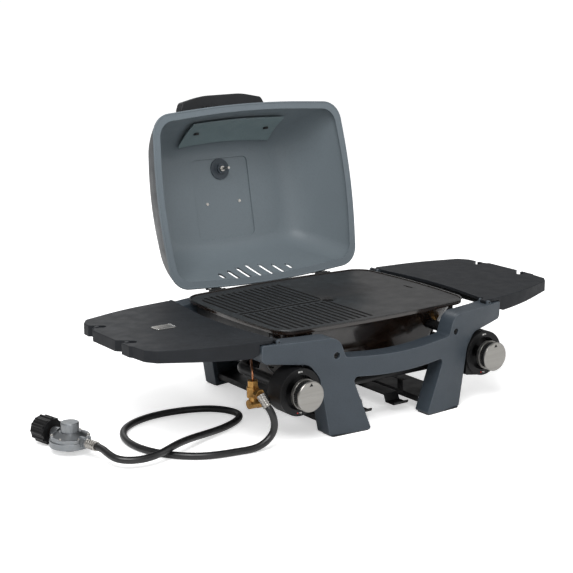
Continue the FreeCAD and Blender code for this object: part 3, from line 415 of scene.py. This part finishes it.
def open_lid_point(point):
    """Where a point of the closed lid, measured from HOME, is when the lid is open."""
    return LID_PIVOT + OPEN_TURN @ (HOME + Vector(point) - LID_PIVOT)


LID_OUTWARD = OPEN_TURN @ Vector((0, 0, 1))
LID_HEART = open_lid_point((0, LID_CENTRE_Y, LID_BASE_Z + 0.07))      # a point well inside the lid
RIM_POINT = open_lid_point((0, LID_CENTRE_Y, LID_BASE_Z))


def paint_lid():
    """Inside, rim and outside of the lid shell get their own paint."""
    mesh = NODES["lid_shell"].data
    mesh.materials.clear()
    for key in ("lid_outside", "lid_inside", "lid_rim"):
        mesh.materials.append(MATERIALS[key])
    for face in mesh.polygons:
        depth = (face.center - RIM_POINT).dot(LID_OUTWARD)
        if abs(depth) < RIM_DEPTH:
            face.material_index = 2
        elif face.normal.dot(LID_HEART - face.center) > 0:
            face.material_index = 1


def rounded_outline(half_x, half_y, centre_y, corner, bow, steps=10):
    """Points round a rectangle with bulged sides and round corners."""
    apex = APEX_SHARE * bow
    side_x = half_x - bow
    side_y = half_y - bow
    flat_x = APEX_SHARE * side_y ** 2 / (bow + apex)
    flat_y = APEX_SHARE * side_x ** 2 / (bow + apex)
    corners = [((half_x + apex, 0), flat_x), ((side_x, side_y), corner),
               ((0, half_y + apex), flat_y), ((-side_x, side_y), corner),
               ((-half_x - apex, 0), flat_x), ((-side_x, -side_y), corner),
               ((0, -half_y - apex), flat_y), ((side_x, -side_y), corner)]
    points = []
    for index, (vertex, radius) in enumerate(corners):
        vertex = Vector(vertex)
        back = (Vector(corners[index - 1][0]) - vertex).normalized()
        ahead = (Vector(corners[(index + 1) % len(corners)][0]) - vertex).normalized()
        half = back.angle(ahead) / 2
        centre = vertex + (back + ahead).normalized() * radius / math.sin(half)
        start = vertex + back * radius / math.tan(half) - centre
        sweep = math.pi - 2 * half
        for step in range(steps + 1):
            turned = Matrix.Rotation(sweep * step / steps, 2) @ start
            points.append((centre.x + turned.x, centre.y + turned.y + centre_y))
    return points


def tube_through(name, points, radius, material, body, cyclic=True, sides=6):
    """Round bar that follows a list of points."""
    curve = bpy.data.curves.new(name, "CURVE")
    curve.dimensions = "3D"
    curve.bevel_depth = radius
    curve.bevel_resolution = sides
    spline = curve.splines.new("POLY")
    spline.points.add(len(points) - 1)
    for target, point in zip(spline.points, points):
        target.co = (*point, 1.0)
    spline.use_cyclic_u = cyclic
    spline.use_smooth = True
    piece = bpy.data.objects.new(name, curve)
    bpy.context.scene.collection.objects.link(piece)
    curve.materials.append(material)
    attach(piece, body)
    return piece


LID_ROLL = 0.0024           # radius of the bead round the lid's mouth
LID_ROLL_INSET = 0.0015
LIP_ROLL = 0.0013           # radius of the bead on the firebox lip
LIP_ROLL_INSET = 0.001
LIP_ROLL_DROP = 0.0006


def lid_roll():
    """Rolled bead round the lid's mouth."""
    outline = rounded_outline(LID_HALF_X - LID_ROLL_INSET, LID_HALF_Y - LID_ROLL_INSET, LID_CENTRE_Y,
                              CORNER, SIDE_BOW)
    points = [open_lid_point((x, y, LID_BASE_Z + LID_ROLL_INSET)) for x, y in outline]
    tube_through("lid_rim_roll", points, LID_ROLL, MATERIALS["lid_rim"], "lid")


def lip_roll():
    """Rolled bead on the firebox lip."""
    low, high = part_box("firebox")
    middle = (low + high) / 2
    half = (high - low) / 2
    outline = rounded_outline(half.x - LIP_ROLL_INSET, half.y - LIP_ROLL_INSET, middle.y, CORNER, SIDE_BOW)
    points = [(HOME.x + x, y, high.z - LIP_ROLL_DROP) for x, y in outline]
    tube_through("firebox_lip", points, LIP_ROLL, MATERIALS["lip"], "root")


# ---------------------------------------------------------------- small trim

def new_piece(name, build, material, body):
    """Mesh piece filled in by build(bmesh), riding on a body."""
    mesh = bpy.data.meshes.new(name)
    work = bmesh.new()
    build(work)
    bmesh.ops.recalc_face_normals(work, faces=work.faces)
    work.to_mesh(mesh)
    work.free()
    mesh.materials.append(material)
    piece = bpy.data.objects.new(name, mesh)
    bpy.context.scene.collection.objects.link(piece)
    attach(piece, body)
    return piece


def slab(work, corners, thickness):
    """Closed flat slab: corners in order, pushed along the thickness vector."""
    thickness = Vector(thickness)
    near = [work.verts.new(Vector(c)) for c in corners]
    far = [work.verts.new(Vector(c) + thickness) for c in corners]
    work.faces.new(near)
    work.faces.new(far[::-1])
    for i in range(len(corners)):
        j = (i + 1) % len(corners)
        work.faces.new((near[i], far[i], far[j], near[j]))


def ring_mark(work, centre, inner, outer, start, end, lift, steps=12):
    """Flat arc facing -Y, as slabs, from one angle to another."""
    for step in range(steps):
        a = math.radians(start + (end - start) * step / steps)
        b = math.radians(start + (end - start) * (step + 1) / steps)
        corners = [centre + Vector((r * math.cos(t), 0, r * math.sin(t)))
                   for r, t in ((inner, a), (outer, a), (outer, b), (inner, b))]
        slab(work, corners, (0, -lift, 0))


MARK_INNER = 0.0388         # the bezel's marks lie between these radii about the knob's axis
MARK_OUTER = 0.0418
MARK_LIFT = 0.00025
OFF_MARKS = ((84, 86), (88, 90), (92, 97))      # degrees from +X
WEDGE_START = 266
WEDGE_STEP = 3
DOT = (0.0390, 0.0414, 259, 263)                # inner radius, outer radius, start and end in degrees


def bezel_marks(side):
    """Plain marks on a bezel: an off tick on top, a graded wedge and a red dot below."""
    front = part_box(side + "_bezel")[0].y
    middle = sum(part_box(side + "_knob_ring"), Vector()) / 2
    centre = Vector((middle.x, front, middle.z))

    def white(work):
        for start, end in OFF_MARKS:
            ring_mark(work, centre, MARK_INNER, MARK_OUTER, start, end, MARK_LIFT, 3)
        for index in range(3):
            start = WEDGE_START + index * WEDGE_STEP
            outer = MARK_INNER + 0.0014 + 0.0008 * index
            ring_mark(work, centre, MARK_INNER, outer, start, start + 2, MARK_LIFT, 2)

    def red(work):
        ring_mark(work, centre, *DOT, MARK_LIFT, 3)

    new_piece(side + "_bezel_marks", white, MATERIALS["white"], "root")
    new_piece(side + "_bezel_dot", red, MATERIALS["red"], "root")


DIAL_Y = -0.051             # the thermometer's place on the closed lid
DIAL_RISE = 0.006           # from the lid's outside up to the dial's face
TICK_OUTER = 0.018
TICK_LIFT = 0.0002


def dial_ticks():
    """Scale marks on the thermometer's dial, every fifth one longer."""
    hub = open_lid_point((0, DIAL_Y, LID_BASE_Z + LID_HEIGHT + DIAL_RISE))
    across = Vector((1, 0, 0))
    up = OPEN_TURN @ Vector((0, 1, 0))

    def ticks(work):
        for index in range(26):
            long_one = index % 5 == 0
            angle = math.radians(-35 + index * 10)
            along = across * math.cos(angle) + up * math.sin(angle)
            side = across * -math.sin(angle) + up * math.cos(angle)
            inner = 0.0135 if long_one else 0.0155
            half = side * (0.0004 if long_one else 0.0002)
            corners = [hub + along * inner - half, hub + along * TICK_OUTER - half,
                       hub + along * TICK_OUTER + half, hub + along * inner + half]
            slab(work, corners, LID_OUTWARD * TICK_LIFT)

    new_piece("dial_ticks", ticks, MATERIALS["black_plastic"], "lid")


BADGE_INSET = 0.0016
BADGE_CORNER = 0.0035
BADGE_WIRE = 0.0006


def badge_rim():
    """Raised border that frames the blank badge."""
    low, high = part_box("badge_plate")
    reach = BADGE_INSET + BADGE_CORNER
    left, right = low.x + reach, high.x - reach
    near, far = low.y + reach, high.y - reach
    points = []
    for x, y, first in ((right, far, 0), (left, far, 90), (left, near, 180), (right, near, 270)):
        for step in range(7):
            angle = math.radians(first + 15 * step)
            points.append((x + BADGE_CORNER * math.cos(angle), y + BADGE_CORNER * math.sin(angle), high.z))
    tube_through("badge_rim", points, BADGE_WIRE, MATERIALS["chrome"], "left_table", sides=3)


SCREW_CIRCLE = 0.0338       # radius of the circle the flange screws stand on
FLANGE_Z = 0.0322
SCREW_BASE = 0.0029
SCREW_TOP = 0.0022
SCREW_HEIGHT = 0.0024


def regulator_screws():
    """Screw heads round the regulator's clamped flange."""
    middle = sum(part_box("regulator_cap"), Vector()) / 2

    def heads(work):
        for index in range(6):
            angle = math.radians(30 + 60 * index)
            place = Vector((middle.x + SCREW_CIRCLE * math.cos(angle),
                            middle.y + SCREW_CIRCLE * math.sin(angle), FLANGE_Z + SCREW_HEIGHT / 2))
            bmesh.ops.create_cone(work, cap_ends=True, segments=16, radius1=SCREW_BASE, radius2=SCREW_TOP,
                                  depth=SCREW_HEIGHT, matrix=Matrix.Translation(place))

    new_piece("regulator_screws", heads, MATERIALS["bright_steel"], "root")


# ---------------------------------------------------------------- studio

FLOOR_SIZE = 120
FLOOR_GLOW = 0.5            # lifts the floor toward white for the camera only
ROOM_DIFFUSE = 0.60         # strength of the surroundings as light
ROOM_GLOSSY = 0.34          # and as a reflection
WHITE = (1.0, 1.0, 1.0, 1.0)
TARGET_HEIGHT = 0.25

# Name, place from HOME, size and power
LAMPS = (
    ("key", (-1.6, -1.4, 2.6), 1.8, 74),
    ("fill", (2.4, -1.8, 1.5), 2.2, 16),
    ("back", (0.6, 2.4, 2.2), 1.6, 18),
    ("front", (-1.0, -3.2, 0.9), 1.4, 6),
)
CAMERA_PLACE = (-1.8153, -2.3873, 0.9404)
CAMERA_DOWN = 13.286        # degrees
CAMERA_TURN = -35.54
LENS = 93.67


def pale_floor():
    bpy.ops.mesh.primitive_plane_add(size=FLOOR_SIZE)
    floor = bpy.context.object
    floor.name = "floor"
    surface = Surface("floor_paint", (0.95, 0.95, 0.95), 0.8)
    surface.mottle(0.6, (0.93, 0.93, 0.93), 0.3, 0.8, 0.5)
    seen = surface.node("ShaderNodeLightPath").outputs["Is Camera Ray"]
    surface.shader.inputs["Emission Color"].default_value = WHITE
    surface.link(surface.ramp(seen, 0.0, 1.0, 0.0, FLOOR_GLOW), surface.shader.inputs["Emission Strength"])
    floor.data.materials.append(surface.done())


def white_room():
    """White to the camera, dimmer as light and dimmer still in reflections."""
    world = bpy.data.worlds.new("studio")
    world.use_nodes = True
    tree = world.node_tree
    ray = tree.nodes.new("ShaderNodeLightPath")
    lit = tree.nodes.new("ShaderNodeMapRange")
    lit.inputs["To Min"].default_value = ROOM_DIFFUSE
    lit.inputs["To Max"].default_value = ROOM_GLOSSY
    tree.links.new(ray.outputs["Is Glossy Ray"], lit.inputs["Value"])
    shown = tree.nodes.new("ShaderNodeMath")
    shown.operation = "MAXIMUM"
    tree.links.new(ray.outputs["Is Camera Ray"], shown.inputs[0])
    tree.links.new(lit.outputs["Result"], shown.inputs[1])
    background = tree.nodes["Background"]
    background.inputs["Color"].default_value = WHITE
    tree.links.new(shown.outputs[0], background.inputs["Strength"])
    bpy.context.scene.world = world
    bpy.context.scene.view_settings.view_transform = "Standard"


def soft_lamps():
    target = HOME + Vector((0, 0, TARGET_HEIGHT))
    for name, place, size, power in LAMPS:
        light = bpy.data.lights.new(name, "AREA")
        light.size = size
        light.energy = power
        lamp = bpy.data.objects.new(name, light)
        bpy.context.scene.collection.objects.link(lamp)
        lamp.location = HOME + Vector(place)
        lamp.rotation_euler = (target - lamp.location).to_track_quat("-Z", "Y").to_euler()


def front_camera():
    camera = bpy.data.cameras.new("camera")
    camera.sensor_width = 36.0
    camera.lens = LENS
    view = bpy.data.objects.new("camera", camera)
    bpy.context.scene.collection.objects.link(view)
    view.location = HOME + Vector(CAMERA_PLACE)
    view.rotation_euler = (math.radians(90 - CAMERA_DOWN), 0, math.radians(CAMERA_TURN))
    bpy.context.scene.camera = view


dress_nodes()
paint_lid()
lid_roll()
lip_roll()
for hand in ("left", "right"):
    bezel_marks(hand)
dial_ticks()
badge_rim()
regulator_screws()
pale_floor()
white_room()
soft_lamps()
front_camera()
